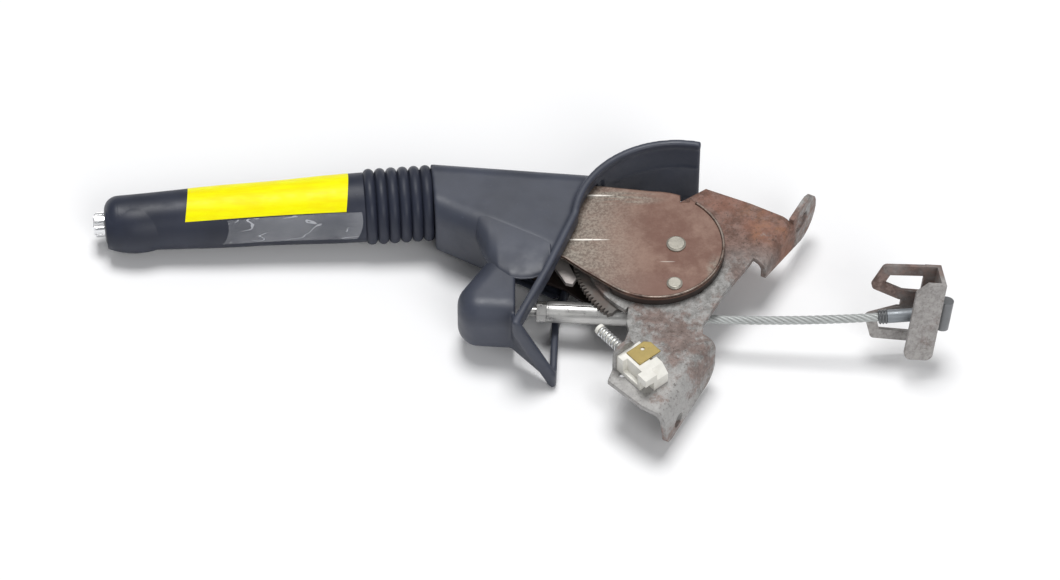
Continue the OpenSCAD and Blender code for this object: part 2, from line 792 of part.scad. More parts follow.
module adjuster_nut() {
    color(bright) to_frame() along_cable() translate([0, 0, sleeve_x - washer_t - nut_t]) difference() {
        cylinder(d = nut_af / cos(30), h = nut_t, $fn = 6);
        translate([0, 0, -1]) cylinder(r = thread_r, h = nut_t + 2);
    }
}

module adjuster_washer() {
    color(bright) to_frame() along_cable() translate([0, 0, sleeve_x - washer_t]) difference() {
        cylinder(r = sleeve_r, h = washer_t);
        translate([0, 0, -1]) cylinder(r = thread_r + 0.2, h = washer_t + 2);
    }
}

module cable() {
    color(bright) to_frame() {
        along_cable() translate([0, 0, swage_x]) cylinder(r = cable_r, h = bow_x - swage_x + 0.5);
        at_bow() translate([bow_r, 0, 0]) rotate([90, 0, 0]) rotate(180 - bow_angle)
            rotate_extrude(angle = bow_angle, $fn = 360) translate([bow_r, 0]) circle(cable_r - slack);
    }
}

module cable_crimp() {
    color(bright) to_frame() at_end() rotate_extrude() {
        translate([cable_r, -crimp_l]) square([end_r - cable_r - 0.3, crimp_l]);
        for (i = [0:2]) translate([end_r - 0.3, (i + 0.5) * crimp_l / 3 - crimp_l]) circle(crimp_l / 8);
    }
}

module cable_end_sleeve() {
    color(charcoal) to_frame() at_end() cylinder(r = end_r, h = end_l + nipple_r / 2);
}

// Equaliser upright about the cable's end: X along the cable, Z up its length.
module at_equaliser(turn = eq_turn) {
    at_end() translate([0, 0, end_l]) rotate([0, -90, 0]) rotate([-eq_lean, 0, 0]) rotate([0, eq_roll, 0])
        rotate(turn) children();
}

module cable_nipple() {
    color(bright) to_frame() difference() {
        at_equaliser(0) translate([nipple_r + 0.3, 0, -nipple_l / 2]) cylinder(r = nipple_r, h = nipple_l);
        at_end() translate([0, 0, -1]) cylinder(r = end_r, h = end_l + nipple_r / 2 + 1);
    }
}

// Side of the windowed arm with the web to the right: one loop. The other is its mirror image.
module loop_half() {
    half = eq_len / 2 - eq_rim / 2;
    path = [[-eq_rim / 2, half], [7 - eq_reach, half - 1], [eq_rim / 2 - eq_reach, half / 2], [-20, 5.5], [-4, 5]];
    for (i = [0:len(path) - 2]) bar(path[i], path[i + 1], eq_rim);
    translate([-9, 0]) square([9, eq_len / 2]);
    translate([-19, 0]) square([19, 8]);
}

// Plain arm: a strip with a clipped upper corner and rounded lower corners.
module strip_outline() {
    low = 4 - eq_len / 2;
    translate([-eq_strip, low]) square([eq_strip, eq_len - 10]);
    translate([6 - eq_strip, low]) square([eq_strip - 6, eq_len - 4]);
    polygon([[-eq_strip, eq_len / 2 - 6], [6 - eq_strip, eq_len / 2], [6 - eq_strip, 0], [-eq_strip, 0]]);
    for (x = [4 - eq_strip, -4]) translate([x, low]) circle(4);
    translate([4 - eq_strip, -eq_len / 2]) square([eq_strip - 8, 5]);
}

module equaliser() {
    color(steel) to_frame() at_equaliser() difference() {
        union() {
            translate([-eq_t, -eq_w / 2, 4 - eq_len / 2]) cube([eq_t, eq_w, eq_len - 4]);
            translate([0, eq_w / 2, 0]) rotate([90, 0, 0]) linear_extrude(eq_t) {
                loop_half();
                mirror([0, 1]) loop_half();
            }
            translate([0, eq_t - eq_w / 2, 0]) rotate([90, 0, 0]) linear_extrude(eq_t) strip_outline();
        }
        translate([-2 * eq_t, 0, 0]) rotate([0, 90, 0]) cylinder(r = end_r + 1.2, h = 4 * eq_t);
    }
}

base_bracket();
ratchet_sector();
sector_rivets();
switch_body();
switch_terminal();
switch_plunger();
switch_spring();
lever_arm();
pivot_pin();
pivot_spacers();
anchor_pin();
pawl_pin();
grip();
shroud();
rod_guide();
release_button();
release_rod();
release_spring();
ratchet_pawl();
pawl_spring();
adjuster_sleeve();
threaded_rod();
adjuster_nut();
adjuster_washer();
cable();
cable_crimp();
cable_end_sleeve();
cable_nipple();
equaliser();
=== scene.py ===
"""Parking brake lever on a white table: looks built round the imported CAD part, in its frame.

Places and sizes on the part are in millimetres about the lever's pivot, as in the part's source, and mm()
turns them into the frame's metres. The table, the lamps and the camera are set up in metres.
"""
import json
import math

import bpy
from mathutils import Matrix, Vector
from mathutils.bvhtree import BVHTree


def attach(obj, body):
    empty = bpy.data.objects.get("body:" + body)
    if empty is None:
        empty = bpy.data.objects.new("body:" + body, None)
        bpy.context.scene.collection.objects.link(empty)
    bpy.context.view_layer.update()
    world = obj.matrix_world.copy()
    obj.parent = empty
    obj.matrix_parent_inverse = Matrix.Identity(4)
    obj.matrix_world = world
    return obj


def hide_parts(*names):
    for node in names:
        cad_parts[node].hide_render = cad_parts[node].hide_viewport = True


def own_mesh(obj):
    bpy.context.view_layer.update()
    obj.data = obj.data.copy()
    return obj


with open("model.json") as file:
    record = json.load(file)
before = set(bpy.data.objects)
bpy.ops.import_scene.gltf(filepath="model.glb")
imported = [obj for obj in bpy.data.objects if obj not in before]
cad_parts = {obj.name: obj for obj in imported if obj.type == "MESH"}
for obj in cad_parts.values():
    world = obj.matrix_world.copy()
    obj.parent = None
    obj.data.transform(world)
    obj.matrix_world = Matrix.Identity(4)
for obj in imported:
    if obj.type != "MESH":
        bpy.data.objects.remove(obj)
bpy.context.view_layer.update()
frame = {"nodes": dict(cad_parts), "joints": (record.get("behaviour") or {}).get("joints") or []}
NODES = frame["nodes"]
JOINTS = {joint["name"]: joint for joint in frame["joints"]}
scene = bpy.context.scene

MM = 0.001
UP = Vector((0, 0, 1))
PIVOT = Vector(JOINTS["lever_swing"]["pos_m"])
ANCHOR = (Vector(JOINTS["adjuster_swing"]["pos_m"]) - PIVOT) / MM

# Edges that turn by more than this angle, in degrees, stay sharp
SHARP_ANGLE = 32

# Shroud: size of the cells its skin is drawn together with, and how far it is eased
SKIN_CELL = 0.8
EASE_SHARE = 0.5
EASE_STEPS = 8

# Skirt of the shroud, by stations along the lever: place, upper edge, lower edge, height of the lower edge
SKIRT = (
    (-112, 24, 10, 13), (-108, 21, -4, 13), (-104, 18, -14, 15.5), (-99, 15, -22, 17.9), (-92, 12, -27, 18.5),
    (-86, 9, -28, 18.5), (-80, 6, -27.5, 18.5), (-74, 3, -25, 18.6), (-69.5, 1, -15, 18.8),
)
SKIRT_THICK = 2.2
SKIRT_SINK = 0.1
# Share of the skirt's depth that is rounded at its lower edge, and how far each of its two faces turns there
SKIRT_EDGE = 0.1
SKIRT_ROUND_OUT = 0.99
SKIRT_ROUND_IN = 0.66
# Powers that draw the skirt's rows together towards its lower edge, and that bend it over like a shoulder
SKIRT_ROWS = 1.5
SKIRT_BEND = 2.4

# Near cheek of the lever arm: its round end, its outer face and corners of its lower edge
CHEEK_R = 39
CHEEK_BACK = 12
CHEEK_TOP = 14
CHEEK_LOW = ((-52, -18.5), (-62, -10), (-76, -3.6))
# Rolled rim on that cheek: its radius, how far it lies inside the edges, and where it runs round, in degrees
RIM_R = 0.95
RIM_INSET = 0.7
RIM_LOW_INSET = 0.5
RIM_START = 52
RIM_STOP = -127.4

# Cable: its line under the anchor pin, and its bow, whose lift is turned round the cable
CABLE_DROP = 37.4
CABLE_DEPTH = 4.5
CABLE_SLOPE = math.radians(3.5)
BOW_RUN = 106.5
BOW_LIFT = 6.2
BOW_TURN = math.radians(130)
BOW_ANGLE = 2 * math.atan2(BOW_LIFT, BOW_RUN)
BOW_R = BOW_RUN / math.sin(BOW_ANGLE)
# Stations along the cable: its end in the adjuster, the start of the bow and its end fitting
CABLE_IN = -30
CABLE_BOW = 10
CABLE_OUT = CABLE_BOW + BOW_R * BOW_ANGLE
CABLE_LEN = CABLE_OUT - CABLE_IN
# Strands round the cable's core: their number, radius, distance from the middle and length of one turn
STRAND_N = 6
STRAND_R = 0.86
STRAND_OFF = 1.6
STRAND_LAY = 24
CORE_OFF = 0.01
ROUTE_STEPS = 40

# Coil springs: wire radius and the share of a spring's length that each closed end turn takes
WIRE_R = 0.45
END_TURN = 0.05

# Switch: the plunger's axis over the switch's middle, its direction, and the neck's end that the coil sits on
SWITCH_AT = Vector((-18, -91, 14.5))
SWITCH_TURN = math.radians(130)
SWITCH_WAY = Vector((math.cos(SWITCH_TURN), math.sin(SWITCH_TURN), 0))
NECK_END = 19.5
SWITCH_SEAT = SWITCH_AT + SWITCH_WAY * NECK_END
SWITCH_COIL_LEN = 17.1
SWITCH_COIL_R = 2.75
SWITCH_COIL_TURNS = 9

# Grip: its end, the direction of its axis, and the guide that the release spring sits on
GRIP_END = Vector((-319, 26.76, 0))
GRIP_SLOPE = math.radians(5)
GRIP_WAY = Vector((math.cos(GRIP_SLOPE), math.sin(GRIP_SLOPE), 0))
GRIP_UP = Vector((-GRIP_WAY.y, GRIP_WAY.x, 0))
GUIDE_PLACE = 48
GUIDE_SEAT = GRIP_END + GRIP_WAY * GUIDE_PLACE
RELEASE_COIL_LEN = 35.1
RELEASE_COIL_R = 5
RELEASE_COIL_TURNS = 10

# Rays that look for the part's skin start this far off
RAY_START = 60
GRIP_RAY = 50

# Label and tape on the grip: first and last station, lowest and highest angle in degrees, height and slant
LABEL = dict(first=45, last=135, low=-47, high=62, lift=0.12, slant=2.5)
TAPE = dict(first=65, last=140, low=-103, high=-49, lift=0.1, slant=4)
# How unevenly they lie: sines of their ends, their sides and the waves between, in radians over a sheet
SLANT_TURN = 2.1
SWING_TURN = 3.0
SWING = 1.5
WAVE_ALONG = 21
WAVE_ACROSS = 4
WAVE_HEIGHT = 0.06
# The corner that lifts: its height, and the shares along and across a sheet where it starts
CURL_HEIGHT = 0.9
CURL_ALONG = 0.93
CURL_ACROSS = 0.35

# Table: fall along X for each unit of length, because the lever rests on its hood and its grip
LEAN = 0.0375
TABLE_SIZE = 60
TABLE_Y = 0.07
TABLE_GAP = 0.0002

# Light: colour and strength of the room, then each lamp's name, side, spread in degrees and strength
ROOM_COLOUR = (0.97, 0.98, 1.0, 1)
ROOM_STRENGTH = 0.28
LAMPS = (
    ("sky_lamp", (0, 0.33, 1.25), 26, 2.15),
    ("front_lamp", (0.5, -1.02, 0.75), 35, 0.95),
)

# Camera: a long lens far off, because the photograph is nearly a parallel view, aimed at a point on the part
ELEVATION = math.radians(50)
FOCAL_PX = 5000
WIDTH_PX = 1060
SENSOR = 36
DISTANCE = 2.75
NEAR = 0.01
FAR = 50
LOOK_AT = (-81, -33, 14)


def mm(x, y, z):
    """A point given in millimetres about the pivot."""
    return PIVOT + Vector((x, y, z)) * MM


# Materials

class Shader:
    """One node material, built up by short calls. Shares run from 0 to 1."""

    def __init__(self, name):
        self.mat = bpy.data.materials.new(name)
        self.mat.use_nodes = True
        self.tree = self.mat.node_tree
        self.bsdf = self.tree.nodes["Principled BSDF"]
        self.place = self.node("ShaderNodeTexCoord").outputs["Object"]

    def node(self, kind, **values):
        n = self.tree.nodes.new(kind)
        for key, value in values.items():
            setattr(n, key, value)
        return n

    def put(self, socket, value):
        """Sets a socket to a number, a colour or another node's output."""
        if isinstance(value, bpy.types.NodeSocket):
            self.tree.links.new(value, socket)
        elif isinstance(value, (tuple, list)):
            socket.default_value = (*value, 1)
        else:
            socket.default_value = value

    def noise(self, scale, detail=4.0, rough=0.6, stretch=None):
        """Cloudy value about 0.5, with scale waves to the metre, and more along axes of larger stretch."""
        at = self.place
        if stretch:
            m = self.node("ShaderNodeMapping")
            m.inputs["Scale"].default_value = stretch
            self.put(m.inputs["Vector"], at)
            at = m.outputs["Vector"]
        n = self.node("ShaderNodeTexNoise")
        self.put(n.inputs["Vector"], at)
        n.inputs["Scale"].default_value = scale
        n.inputs["Detail"].default_value = detail
        n.inputs["Roughness"].default_value = rough
        return n.outputs["Fac"]

    def ramp(self, value, low, high, out_low=0.0, out_high=1.0):
        """Smooth step: out_low where the value is low, out_high where it is high."""
        n = self.node("ShaderNodeMapRange", interpolation_type="SMOOTHSTEP")
        self.put(n.inputs["Value"], value)
        for key, v in (("From Min", low), ("From Max", high), ("To Min", out_low), ("To Max", out_high)):
            n.inputs[key].default_value = v
        return n.outputs["Result"]

    def math(self, kind, a, b, clamp=True):
        n = self.node("ShaderNodeMath", operation=kind, use_clamp=clamp)
        self.put(n.inputs[0], a)
        self.put(n.inputs[1], b)
        return n.outputs[0]

    def times(self, a, b):
        return self.math("MULTIPLY", a, b)

    def most(self, first, *others):
        for other in others:
            first = self.math("MAXIMUM", first, other)
        return first

    def mix(self, share, a, b):
        """Colour a where the share is 0, colour b where it is 1."""
        n = self.node("ShaderNodeMix", data_type="RGBA")
        self.put(n.inputs[0], share)
        self.put(n.inputs[6], a)
        self.put(n.inputs[7], b)
        return n.outputs[2]

    def mottle(self, value, low, high, a, b):
        """Colour that turns from a to b while a value rises from low to high."""
        return self.mix(self.ramp(value, low, high), a, b)

    def edge(self):
        """Share of bare edge, from how sharply the surface turns."""
        return self.ramp(self.node("ShaderNodeNewGeometry").outputs["Pointiness"], 0.52, 0.60)

    def axis(self, name):
        n = self.node("ShaderNodeSeparateXYZ")
        self.put(n.inputs[0], self.place)
        return n.outputs[name]

    def fade(self, name, start, stop):
        """Share that rises along an axis from start to stop, in millimetres about the pivot."""
        origin = PIVOT["XYZ".index(name)]
        return self.ramp(self.axis(name), origin + start * MM, origin + stop * MM)

    def spot(self, at, reach, soft=0.5):
        """Share inside an oval in plan, of that middle and half sizes in millimetres about the pivot."""
        squares = []
        for name, middle, half, origin in zip("XY", at, reach, PIVOT):
            off = self.math("SUBTRACT", self.axis(name), origin + middle * MM, clamp=False)
            part = self.math("DIVIDE", off, half * MM, clamp=False)
            squares.append(self.math("POWER", part, 2, clamp=False))
        return self.ramp(self.math("ADD", *squares, clamp=False), 1 + soft, 1 - soft)

    def bump(self, height, depth, strength, rounding=0.0):
        """Fine relief of that depth, on edges that look rounded by that radius, both in millimetres."""
        n = self.node("ShaderNodeBump")
        self.put(n.inputs["Height"], height)
        if rounding:
            soft = self.node("ShaderNodeBevel", samples=6)
            soft.inputs["Radius"].default_value = rounding * MM
            self.put(n.inputs["Normal"], soft.outputs["Normal"])
        n.inputs["Distance"].default_value = depth * MM
        n.inputs["Strength"].default_value = strength
        self.put(self.bsdf.inputs["Normal"], n.outputs["Normal"])

    def finish(self, colour, rough, metal=0.0, spec=0.5):
        self.put(self.bsdf.inputs["Base Color"], colour)
        self.put(self.bsdf.inputs["Roughness"], rough)
        self.put(self.bsdf.inputs["Metallic"], metal)
        self.bsdf.inputs["Specular IOR Level"].default_value = spec
        return self.mat


def shade(tone, gain, lift=0.0):
    """A colour made darker or lighter."""
    return [min(1, c * gain + lift) for c in tone]


def charcoal(name, tone, grain, rough, spec=0.4):
    """Dark moulding with a fine grain, uneven in tone and a little dusty."""
    s = Shader(name)
    body = s.mottle(s.noise(28, 3), 0.3, 0.7, shade(tone, 0.85), shade(tone, 1.2))
    dust = s.ramp(s.noise(420, 2), 0.68, 0.80, 0, 0.3)
    colour = s.mix(dust, body, shade(tone, 2.0, 0.015))
    s.bump(s.noise(grain, 3, 0.7), 0.12, 0.35, 0.6)
    wear_and_sheen = s.ramp(s.noise(60, 4), 0.3, 0.75, rough - 0.07, rough + 0.1)
    return s.finish(colour, wear_and_sheen, 0.0, spec)


def steel(name, tone, metal, rough, speck=(0.09, 0.075, 0.068), speck_share=0.6, rust=None):
    """Mottled metal with dark specks and bare edges, rusty in patches where a colour of rust is given."""
    s = Shader(name)
    body = s.mottle(s.noise(55, 6, 0.65), 0.3, 0.7, shade(tone, 0.8), shade(tone, 1.2))
    colour = s.mix(s.times(s.ramp(s.noise(650, 4, 0.7), 0.56, 0.68), speck_share), body, speck)
    metal_share = metal
    rough_share = s.ramp(s.noise(130, 5), 0.3, 0.7, rough - 0.1, rough + 0.12)
    if rust:
        patch = s.ramp(s.noise(34, 8, 0.7), 0.44, 0.58)
        colour = s.mix(patch, colour, s.mottle(s.noise(220, 5), 0.35, 0.65, shade(rust, 0.7), rust))
        metal_share = s.ramp(patch, 0, 1, metal, 0.05)
        rough_share = s.ramp(patch, 0, 1, rough, 0.8)
    colour = s.mix(s.times(s.edge(), 0.5), colour, shade(tone, 1.5, 0.045))
    s.bump(s.noise(500, 5, 0.7), 0.15, 0.4, 0.4)
    return s.finish(colour, rough_share, metal_share)


def cheek_steel():
    """Cheeks of the lever: brown round the pivot, grey and speckled towards the shroud, with painted
    highlights along two scratches and a short line by the pins, a worn ring round the pivot, and darker below
    the outer face, partly dark edge metal and partly painted shade.
    """
    s = Shader("cheek_steel")
    stain, tan, deep_stain = (0.15, 0.07, 0.048), (0.25, 0.152, 0.114), (0.135, 0.058, 0.042)
    dark_grey, light_grey = (0.14, 0.115, 0.092), (0.31, 0.272, 0.226)
    # bare is the pale colour of the worn ring round the pivot and of the painted highlights; edge is dark
    # edge metal that is partly painted shade
    scuff, bare, edge = (0.075, 0.055, 0.046), (0.92, 0.87, 0.80), (0.045, 0.033, 0.029)

    brown = s.mottle(s.noise(26, 7, 0.72), 0.38, 0.62, stain, tan)
    brown = s.mix(s.times(s.spot((-14, -31), (26, 10), 0.9), 0.6), brown, deep_stain)
    grey = s.mottle(s.noise(650, 4, 0.7), 0.38, 0.62, dark_grey, light_grey)
    pale = s.times(s.fade("X", -9.87, -61.87), s.ramp(s.noise(75, 6, 0.7), 0.25, 0.6, 0.5, 1))
    streak = s.times(s.spot((-42, 34), (30, 6), 0.9), s.ramp(s.noise(40, 5, 0.65, (1, 7, 7)), 0.35, 0.6))
    patch = s.times(s.spot((21, -17), (4, 9), 0.9), s.ramp(s.noise(160, 5), 0.4, 0.6, 0.2, 0.7))
    colour = s.mix(s.most(pale, streak, patch), brown, grey)
    colour = s.mix(s.ramp(s.noise(900, 5, 0.75), 0.60, 0.72, 0, 0.6), colour, scuff)

    ring = s.math("SUBTRACT", s.spot((0, 0), (12.2, 12.2), 0.03), s.spot((0, 0), (11.7, 11.7), 0.03))
    ring = s.times(ring, s.ramp(s.noise(26, 2), 0.52, 0.56, 0, 0.5))
    # Painted highlights: two scratches and a short line between the pins are drawn as pale glints
    scratch_glints = s.most(s.spot((-47, 36), (11, 0.55)), s.spot((-50, 3.5), (12, 0.5)))
    scratch_glints = s.times(scratch_glints, s.ramp(s.noise(420, 3), 0.3, 0.5, 0.3, 0.95))
    short_glint = s.times(s.spot((-5, -12.5), (4, 0.35)), 0.3)
    colour = s.mix(s.most(scratch_glints, ring, short_glint), colour, bare)
    # Darker below the outer face: partly dark edge metal, partly painted shade on the side walls and the
    # parts beneath
    colour = s.mix(s.fade("Z", CHEEK_TOP - 0.8, CHEEK_TOP - 2.2), colour, edge)
    s.bump(s.noise(380, 5, 0.7), 0.15, 0.35, 1.2)
    return s.finish(colour, s.ramp(s.noise(110, 5), 0.3, 0.7, 0.36, 0.55), 0.3, 0.6)


def rim_steel():
    """Rolled edge of the cheek: dark, partly its own rust and partly painted shade of the gap round it, with
    a painted highlight along its crown.
    """
    s = Shader("rim_steel")
    # The dark colours are partly rust and partly painted shade; bare is the colour of the painted highlight
    # on the crown
    black, brown, bare = (0.045, 0.027, 0.021), (0.13, 0.065, 0.045), (0.42, 0.36, 0.31)
    # Painted highlight: the crown of the rolled edge is drawn pale where it faces up
    wear_and_sheen = s.times(s.fade("Z", CHEEK_TOP + 0.4, CHEEK_TOP + 0.9), s.ramp(s.noise(90, 5, 0.7), 0.35, 0.65))
    dark = s.mottle(s.noise(120, 6, 0.7), 0.35, 0.65, black, brown)
    s.bump(s.noise(500, 4, 0.7), 0.1, 0.35)
    return s.finish(s.mix(s.times(wear_and_sheen, 0.6), dark, bare), 0.4, 0.5)


def bracket_steel():
    """Mottled grey plate, rusty on its upper half and in patches, pale and speckled at its lower tab."""
    s = Shader("bracket_steel")
    dark_grey, light_grey, pale_grey = (0.21, 0.205, 0.197), (0.36, 0.355, 0.345), (0.47, 0.46, 0.45)
    dark_rust, light_rust = (0.13, 0.076, 0.06), (0.265, 0.175, 0.148)
    red_rust, orange_rust = (0.29, 0.14, 0.10), (0.37, 0.185, 0.105)
    speck, pit = (0.06, 0.05, 0.044), (0.065, 0.053, 0.047)

    grey = s.mottle(s.noise(260, 7, 0.75), 0.38, 0.62, dark_grey, light_grey)
    grey = s.mix(s.times(s.fade("Y", -72, -94), 0.5), grey, pale_grey)
    rust = s.mottle(s.noise(170, 7, 0.75), 0.38, 0.62, dark_rust, light_rust)
    red = s.times(s.ramp(s.noise(52, 6, 0.7), 0.40, 0.62), s.fade("Y", -2, 13))
    rust = s.mix(s.times(red, 0.6), rust, red_rust)
    orange = s.times(s.spot((50, 22), (13, 15), 0.9), s.ramp(s.noise(60, 6, 0.7), 0.42, 0.62))
    rust = s.mix(s.times(orange, 0.6), rust, orange_rust)

    upper = s.times(s.fade("Y", -20, 10), s.ramp(s.noise(38, 7, 0.72), 0.26, 0.44))
    patch = s.times(s.ramp(s.noise(34, 8, 0.74), 0.49, 0.60), 0.68)
    bare = s.times(s.spot((76, 38), (9, 22), 0.6), s.ramp(s.noise(60, 6, 0.7), 0.38, 0.58, 0.3, 0.95))
    rusty = s.math("SUBTRACT", s.most(upper, patch), bare)
    colour = s.mix(rusty, grey, rust)
    colour = s.mix(s.ramp(s.noise(600, 5, 0.75), 0.54, 0.64, 0, 0.45), colour, speck)
    colour = s.mix(s.ramp(s.noise(150, 7, 0.78), 0.60, 0.66, 0, 0.6), colour, pit)
    s.bump(s.noise(420, 6, 0.72), 0.2, 0.5, 0.9)
    return s.finish(colour, s.ramp(rusty, 0, 1, 0.5, 0.78), s.ramp(rusty, 0, 1, 0.2, 0.05), 0.25)


def equaliser_steel():
    """Pitted zinc, speckled pale on the web, brown and darker on the two hooked arms."""
    s = Shader("equaliser_steel")
    dark_zinc, light_zinc = (0.29, 0.274, 0.264), (0.42, 0.402, 0.388)
    dark_brown, light_brown, pit = (0.12, 0.078, 0.066), (0.25, 0.18, 0.158), (0.10, 0.08, 0.07)

    zinc = s.mottle(s.noise(420, 6, 0.75), 0.36, 0.64, dark_zinc, light_zinc)
    brown = s.mottle(s.noise(240, 6, 0.72), 0.40, 0.60, dark_brown, light_brown)
    arms = s.times(s.fade("Y", -38, -30), s.ramp(s.noise(60, 6, 0.7), 0.34, 0.54, 0.35, 1))
    spread = s.ramp(s.noise(48, 7, 0.72), 0.56, 0.66, 0, 0.6)
    colour = s.mix(s.most(arms, spread), zinc, brown)
    colour = s.mix(s.ramp(s.noise(520, 5, 0.75), 0.57, 0.66, 0, 0.5), colour, pit)
    s.bump(s.noise(480, 5, 0.72), 0.2, 0.45, 0.4)
    return s.finish(colour, s.ramp(s.noise(130, 5), 0.3, 0.7, 0.45, 0.68), 0.2, 0.4)


def white_moulding():
    """White plastic of the switch, yellowed in places and a little dirty."""
    s = Shader("white_moulding")
    yellowed, white, dirt = (0.75, 0.735, 0.675), (0.93, 0.915, 0.855), (0.45, 0.39, 0.3)
    colour = s.mottle(s.noise(80, 5), 0.35, 0.7, yellowed, white)
    colour = s.mix(s.ramp(s.noise(520, 4), 0.66, 0.76, 0, 0.5), colour, dirt)
    s.bump(s.noise(300, 3), 0.1, 0.25, 0.4)
    return s.finish(colour, s.ramp(s.noise(90, 4), 0.3, 0.7, 0.32, 0.5))


def label_paper():
    """Plain yellow paper, creased and a little scuffed."""
    s = Shader("label_paper")
    deep, bright, scuffed = (0.93, 0.81, 0.0), (0.95, 0.93, 0.0), (0.825, 0.72, 0.09)
    paper = s.mottle(s.noise(60, 5, 0.6, (1, 5, 5)), 0.35, 0.65, deep, bright)
    colour = s.mix(s.ramp(s.noise(260, 4, 0.7), 0.64, 0.76, 0, 0.3), paper, scuffed)
    s.bump(s.noise(75, 4, 0.6, (1, 4, 4)), 0.5, 0.2)
    return s.finish(colour, s.ramp(s.noise(120, 4), 0.3, 0.7, 0.34, 0.5), 0.0, 0.15)


def clear_film():
    """Clear sticky tape, a little milky, with long creases where its lie crosses the middle."""
    s = Shader("clear_tape")
    middle = 0.5
    lie = s.noise(42, 1.5, 0.5, (1, 2, 2))
    off = s.most(s.math("SUBTRACT", lie, middle), s.math("SUBTRACT", middle, lie))
    crease = s.times(s.ramp(off, 0.011, 0.004), s.ramp(s.noise(50, 2), 0.38, 0.52))
    milky = s.ramp(s.noise(38, 4, 0.6), 0.35, 0.7, 0.16, 0.32)
    s.put(s.bsdf.inputs["Alpha"], s.most(milky, s.times(crease, 0.7)))
    s.bump(lie, 2, 0.4)
    return s.finish((0.63, 0.645, 0.69), 0.24)


def table_top():
    s = Shader("table_top")
    colour = s.mix(s.noise(3, 2), (0.93, 0.93, 0.935), (0.95, 0.95, 0.955))
    return s.finish(colour, 0.6, 0.0, 0.2)


PIN = steel("pin_steel", (0.405, 0.383, 0.33), 0.5, 0.42, (0.15, 0.128, 0.105), 0.5)
BRIGHT = steel("bare_steel", (0.43, 0.425, 0.413), 0.75, 0.34, (0.135, 0.12, 0.105), 0.55)
WIRE = steel("spring_wire", (0.72, 0.735, 0.75), 0.85, 0.28, (0.24, 0.232, 0.225), 0.3)
NIPPLE = steel("nipple_steel", (0.14, 0.145, 0.15), 0.5, 0.38, (0.06, 0.055, 0.05), 0.5)
WHITE = white_moulding()
LOOK = {
    "grip": charcoal("grip_rubber", (0.019, 0.023, 0.039), 900, 0.48, 0.39),
    "shroud": charcoal("shroud_plastic", (0.038, 0.044, 0.065), 1300, 0.48, 0.6),
    "rod_guide": charcoal("guide_plastic", (0.045, 0.045, 0.051), 1000, 0.55),
    "lever_arm": cheek_steel(),
    "base_bracket": bracket_steel(),
    "ratchet_sector": steel("sector_steel", (0.09, 0.083, 0.076), 0.3, 0.55, rust=(0.12, 0.066, 0.045)),
    "ratchet_pawl": steel("pawl_steel", (0.33, 0.3, 0.285), 0.5, 0.42),
    "equaliser": equaliser_steel(),
    "switch_terminal": steel("terminal_brass", (0.27, 0.2, 0.056), 0.45, 0.42, (0.11, 0.08, 0.025), 0.55),
    "release_button": steel("button_plating", (0.9, 0.915, 0.945), 0.95, 0.2, (0.3, 0.3, 0.315), 0.2),
    "cable_end_sleeve": steel("grey_sleeve", (0.165, 0.18, 0.195), 0.3, 0.42, (0.09, 0.09, 0.098), 0.4),
    "cable": steel("rope_wire", (0.37, 0.385, 0.378), 0.3, 0.46, (0.16, 0.16, 0.15), 0.35),
}
SHARED = (
    (PIN, ("pivot_pin", "anchor_pin", "pawl_pin", "pivot_spacers", "sector_rivets")),
    (BRIGHT, ("adjuster_sleeve", "threaded_rod", "adjuster_nut", "adjuster_washer")),
    (WIRE, ("switch_spring", "release_spring", "pawl_spring", "release_rod")),
    (NIPPLE, ("cable_crimp", "cable_nipple")),
    (WHITE, ("switch_body", "switch_plunger")),
)
for look, names in SHARED:
    for name in names:
        LOOK[name] = look

for name, obj in NODES.items():
    obj.data.materials.clear()
    obj.data.materials.append(LOOK[name])
    for poly in obj.data.polygons:
        poly.use_smooth = True
    obj.data.set_sharp_from_angle(angle=math.radians(SHARP_ANGLE))

# The shroud is a moulding with no sharp edge: its facets are drawn together and eased.
skin = NODES["shroud"].modifiers.new("skin", "REMESH")
skin.mode = "VOXEL"
skin.voxel_size = SKIN_CELL * MM
skin.use_smooth_shade = True
ease = NODES["shroud"].modifiers.new("ease", "SMOOTH")
ease.factor = EASE_SHARE
ease.iterations = EASE_STEPS


# Pieces that ride on the part

def add(name, verts, faces, look, body, slot=None):
    """A new piece, smooth all over, that moves with a body and takes the finish it is given; the slot is not
    used.
    """
    mesh = bpy.data.meshes.new(name)
    mesh.from_pydata(verts, [], faces)
    mesh.materials.append(look)
    for poly in mesh.polygons:
        poly.use_smooth = True
    obj = bpy.data.objects.new(name, mesh)
    scene.collection.objects.link(obj)
    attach(obj, body)
    return obj


def surface(name):
    """A CAD node's faces, for rays to be cast on."""
    mesh = NODES[name].data
    points = [v.co.copy() for v in mesh.vertices]
    return BVHTree.FromPolygons(points, [tuple(f.vertices) for f in mesh.polygons])


def tubes(paths, radius, sides=8):
    """Round wires of a radius in millimetres along lists of (point, outward direction)."""
    verts, faces = [], []
    for path in paths:
        base, last = len(verts), len(path) - 1
        for i, (p, out) in enumerate(path):
            ahead = (path[min(i + 1, last)][0] - path[max(i - 1, 0)][0]).normalized()
            across = ahead.cross(out).normalized()
            for k in range(sides):
                a = 2 * math.pi * k / sides
                verts.append(p + radius * MM * (math.cos(a) * out + math.sin(a) * across))
        for i in range(last):
            for k in range(sides):
                a, b = base + i * sides + k, base + i * sides + (k + 1) % sides
                faces.append((a, b, b + sides, a + sides))
        faces.append(tuple(base + k for k in reversed(range(sides))))
        faces.append(tuple(base + last * sides + k for k in range(sides)))
    return verts, faces


# Skirt of the shroud

def between(stations, x):
    """Values at x, taken in a straight line between the two stations beside it."""
    for a, b in zip(stations, stations[1:]):
        if x <= b[0]:
            n = (x - a[0]) / (b[0] - a[0])
            return [p + (q - p) * n for p, q in zip(a[1:], b[1:])]
    return list(stations[-1][1:])


